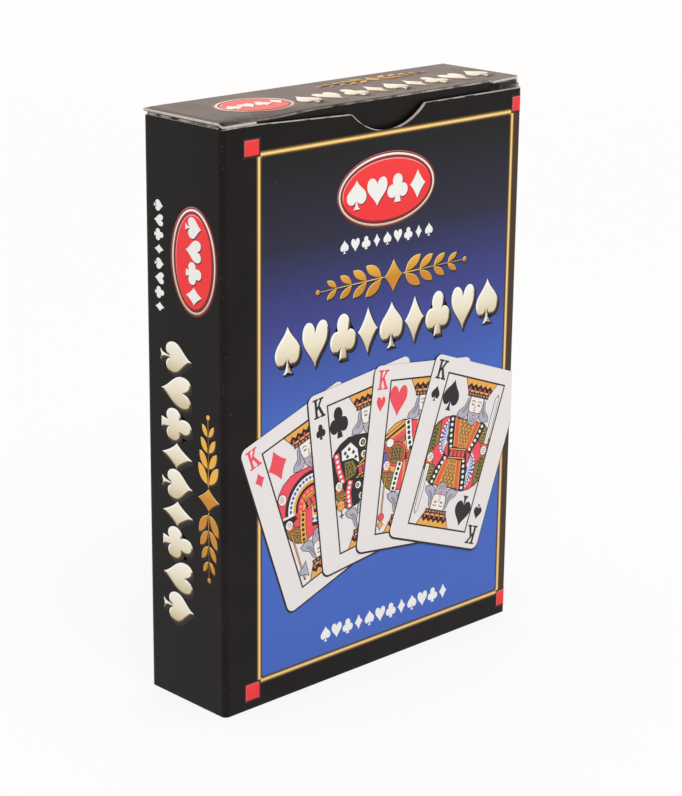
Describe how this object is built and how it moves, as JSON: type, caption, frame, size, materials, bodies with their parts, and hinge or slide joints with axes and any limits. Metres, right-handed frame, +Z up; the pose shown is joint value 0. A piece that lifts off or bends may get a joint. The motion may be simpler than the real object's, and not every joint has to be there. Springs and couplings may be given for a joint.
{
  "type": "playing card deck",
  "caption": "Deck of playing cards with round corners, standing in a folded board tuck box whose lid, tongue and dust flaps fold open.",
  "frame": {"origin": "middle of the box's underside, where it stands on a surface", "axes": "+Z up along the height of the cards, +Y towards the back panel, so the printed front faces -Y, and +X to the right seen from the front"},
  "size_m": [0.0648, 0.018, 0.0939],
  "materials": {
    "printed_board": "semi-gloss varnished print",
    "black_board": "semi-gloss varnished print",
    "card_stock": "smooth plastic-coated"
  },
  "bodies": {
    "carton": {"carton_sleeve": "printed_board", "carton_base": "black_board"},
    "deck": {"ace_of_spades": "card_stock", "two_of_spades": "card_stock", "three_of_spades": "card_stock", "four_of_spades": "card_stock", "five_of_spades": "card_stock", "six_of_spades": "card_stock", "seven_of_spades": "card_stock", "eight_of_spades": "card_stock", "nine_of_spades": "card_stock", "ten_of_spades": "card_stock", "jack_of_spades": "card_stock", "queen_of_spades": "card_stock", "king_of_spades": "card_stock", "ace_of_hearts": "card_stock", "two_of_hearts": "card_stock", "three_of_hearts": "card_stock", "four_of_hearts": "card_stock", "five_of_hearts": "card_stock", "six_of_hearts": "card_stock", "seven_of_hearts": "card_stock", "eight_of_hearts": "card_stock", "nine_of_hearts": "card_stock", "ten_of_hearts": "card_stock", "jack_of_hearts": "card_stock", "queen_of_hearts": "card_stock", "king_of_hearts": "card_stock", "ace_of_clubs": "card_stock", "two_of_clubs": "card_stock", "three_of_clubs": "card_stock", "four_of_clubs": "card_stock", "five_of_clubs": "card_stock", "six_of_clubs": "card_stock", "seven_of_clubs": "card_stock", "eight_of_clubs": "card_stock", "nine_of_clubs": "card_stock", "ten_of_clubs": "card_stock", "jack_of_clubs": "card_stock", "queen_of_clubs": "card_stock", "king_of_clubs": "card_stock", "ace_of_diamonds": "card_stock", "two_of_diamonds": "card_stock", "three_of_diamonds": "card_stock", "four_of_diamonds": "card_stock", "five_of_diamonds": "card_stock", "six_of_diamonds": "card_stock", "seven_of_diamonds": "card_stock", "eight_of_diamonds": "card_stock", "nine_of_diamonds": "card_stock", "ten_of_diamonds": "card_stock", "jack_of_diamonds": "card_stock", "queen_of_diamonds": "card_stock", "king_of_diamonds": "card_stock", "joker_red": "card_stock", "joker_black": "card_stock"},
    "lid": {"lid_panel": "black_board"},
    "tongue": {"tuck_tongue": "black_board"},
    "flap_left": {"dust_flap_left": "black_board"},
    "flap_right": {"dust_flap_right": "black_board"}
  },
  "joints": [
    {"name": "deck_slide", "type": "slide", "parent": "carton", "child": "deck", "axis": [0, 0, 1], "range_m": [0, 0.0116]},
    {"name": "lid_hinge", "type": "hinge", "parent": "carton", "child": "lid", "pos_m": [0, 0.00882, 0.09362], "axis": [-1, 0, 0], "range_deg": [0, 180]},
    {"name": "tuck_fold", "type": "hinge", "parent": "lid", "child": "tongue", "pos_m": [0, -0.00785, 0.0934], "axis": [1, 0, 0], "range_deg": [0, 81]},
    {"name": "flap_left_hinge", "type": "hinge", "parent": "carton", "child": "flap_left", "pos_m": [-0.0322, 0, 0.09302], "axis": [0, -1, 0], "range_deg": [0, 126]},
    {"name": "flap_right_hinge", "type": "hinge", "parent": "carton", "child": "flap_right", "pos_m": [0.0322, 0, 0.09302], "axis": [0, 1, 0], "range_deg": [0, 126]}
  ],
  "couplings": [
    {"joint": "lid_hinge", "follows": "deck_slide", "rad_per_m": 270.82},
    {"joint": "tuck_fold", "follows": "deck_slide", "rad_per_m": 121.87},
    {"joint": "flap_left_hinge", "follows": "deck_slide", "rad_per_m": 189.57},
    {"joint": "flap_right_hinge", "follows": "deck_slide", "rad_per_m": 189.57}
  ]
}
